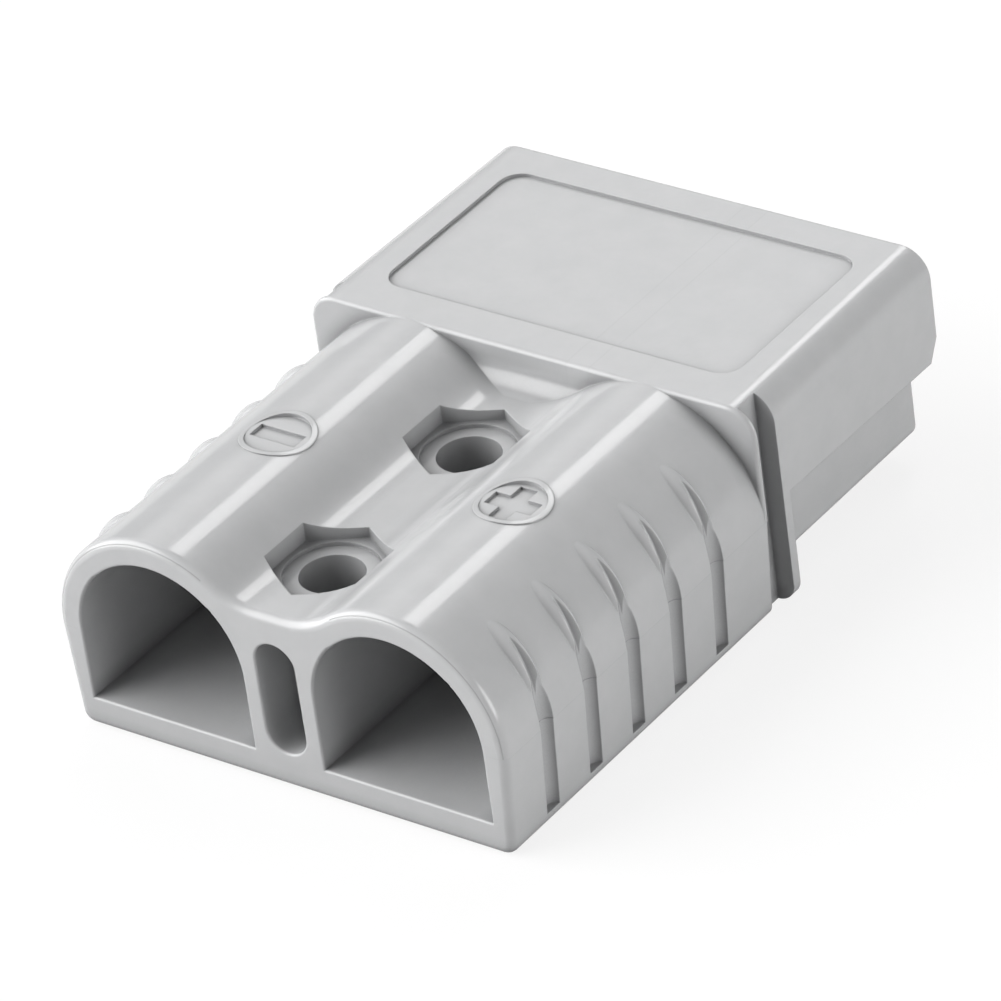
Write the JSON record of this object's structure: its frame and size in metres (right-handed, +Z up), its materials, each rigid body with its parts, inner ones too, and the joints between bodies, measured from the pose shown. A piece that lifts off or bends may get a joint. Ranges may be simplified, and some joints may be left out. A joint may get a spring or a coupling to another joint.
{
  "type": "battery cable plug",
  "caption": "Two-pole genderless battery cable plug: moulded grey housing with hood and nose, bolt holes in the web, sprung blade contacts inside.",
  "frame": {"origin": "middle of the underside", "axes": "+X across the poles towards the positive pole, +Y from the cable end to the mating end, +Z up from the underside"},
  "size_m": [0.056, 0.0792, 0.0253],
  "materials": {
    "moulded_grey": "smooth moulded plastic with a soft gloss",
    "silver_plate": "silver plate over copper, so brass stands for copper's weight",
    "spring_steel": "rolled stainless strip"
  },
  "bodies": {
    "root": {"housing": "moulded_grey", "contact_negative": "silver_plate", "contact_positive": "silver_plate", "spring_negative": "spring_steel", "spring_positive": "spring_steel"}
  },
  "joints": []
}
